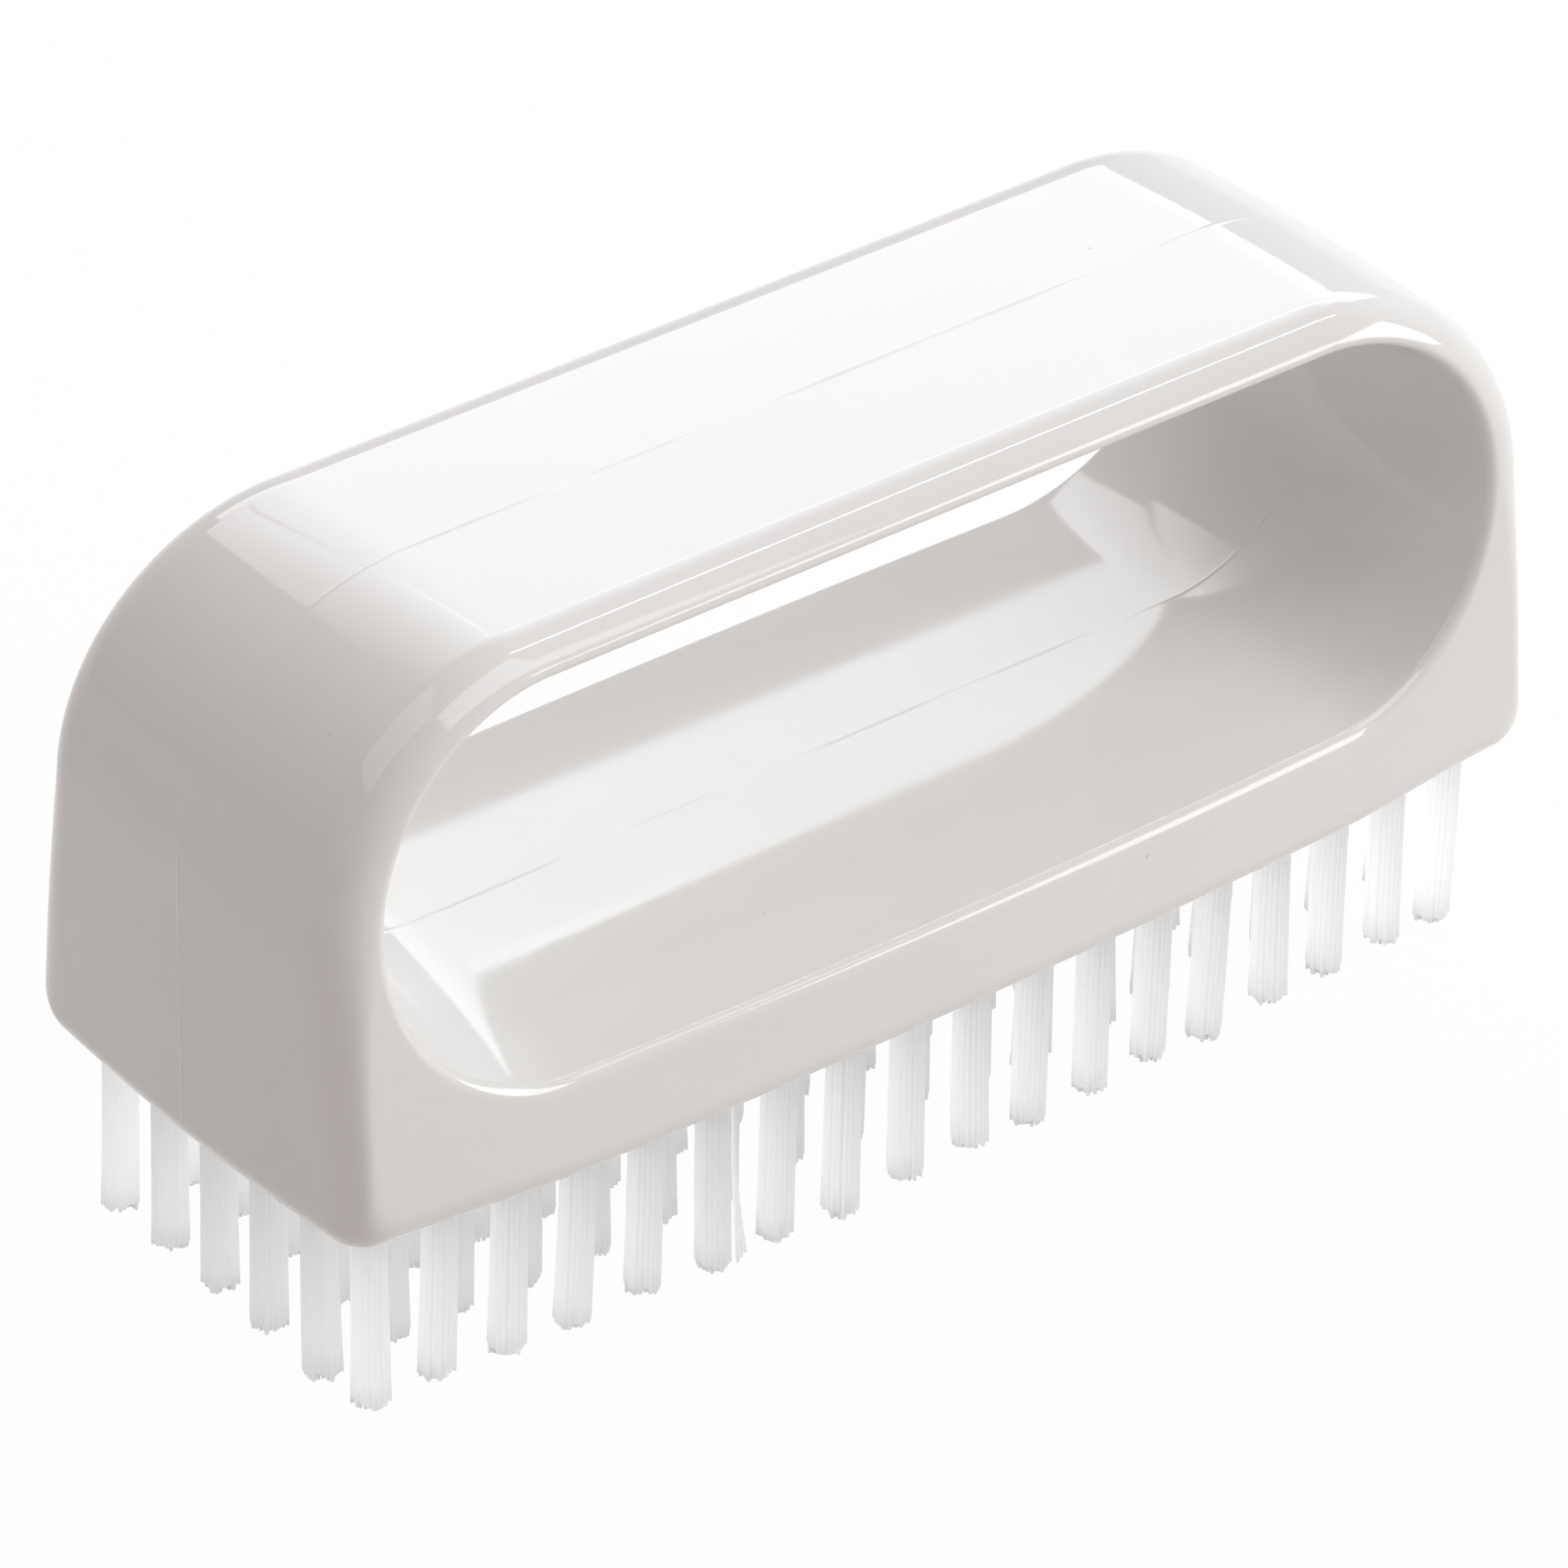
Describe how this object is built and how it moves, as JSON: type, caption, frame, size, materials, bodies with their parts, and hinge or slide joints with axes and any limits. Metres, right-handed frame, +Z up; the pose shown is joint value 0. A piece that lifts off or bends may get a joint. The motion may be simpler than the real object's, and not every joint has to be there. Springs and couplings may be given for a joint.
{
  "type": "nail brush",
  "caption": "Nail brush: a white moulded block with a loop handle open right through for the fingers, and straight tufts of nylon bristle anchored in blind holes.",
  "frame": {"origin": "centre of the bounding box's foot, in the plane of the bristle tips", "axes": "+X along the length, +Y through the finger loop from front to back, +Z up from the bristle tips to the loop"},
  "size_m": [0.0994, 0.0378, 0.0524],
  "materials": {
    "white_plastic": "glossy moulded white polypropylene with a fine parting line",
    "nylon_bristle": "milky white drawn nylon filament, cut ragged at the tips",
    "anchor_wire": "drawn flat wire, cut to length"
  },
  "bodies": {
    "root": {"handle_body": "white_plastic", "tuft_column_01": "nylon_bristle", "tuft_column_02": "nylon_bristle", "tuft_column_03": "nylon_bristle", "tuft_column_04": "nylon_bristle", "tuft_column_05": "nylon_bristle", "tuft_column_06": "nylon_bristle", "tuft_column_07": "nylon_bristle", "tuft_column_08": "nylon_bristle", "tuft_column_09": "nylon_bristle", "tuft_column_10": "nylon_bristle", "tuft_column_11": "nylon_bristle", "tuft_column_12": "nylon_bristle", "tuft_column_13": "nylon_bristle", "tuft_column_14": "nylon_bristle", "tuft_column_15": "nylon_bristle", "tuft_column_16": "nylon_bristle", "tuft_column_17": "nylon_bristle", "tuft_column_18": "nylon_bristle", "anchor_column_01": "anchor_wire", "anchor_column_02": "anchor_wire", "anchor_column_03": "anchor_wire", "anchor_column_04": "anchor_wire", "anchor_column_05": "anchor_wire", "anchor_column_06": "anchor_wire", "anchor_column_07": "anchor_wire", "anchor_column_08": "anchor_wire", "anchor_column_09": "anchor_wire", "anchor_column_10": "anchor_wire", "anchor_column_11": "anchor_wire", "anchor_column_12": "anchor_wire", "anchor_column_13": "anchor_wire", "anchor_column_14": "anchor_wire", "anchor_column_15": "anchor_wire", "anchor_column_16": "anchor_wire", "anchor_column_17": "anchor_wire", "anchor_column_18": "anchor_wire"}
  },
  "joints": []
}
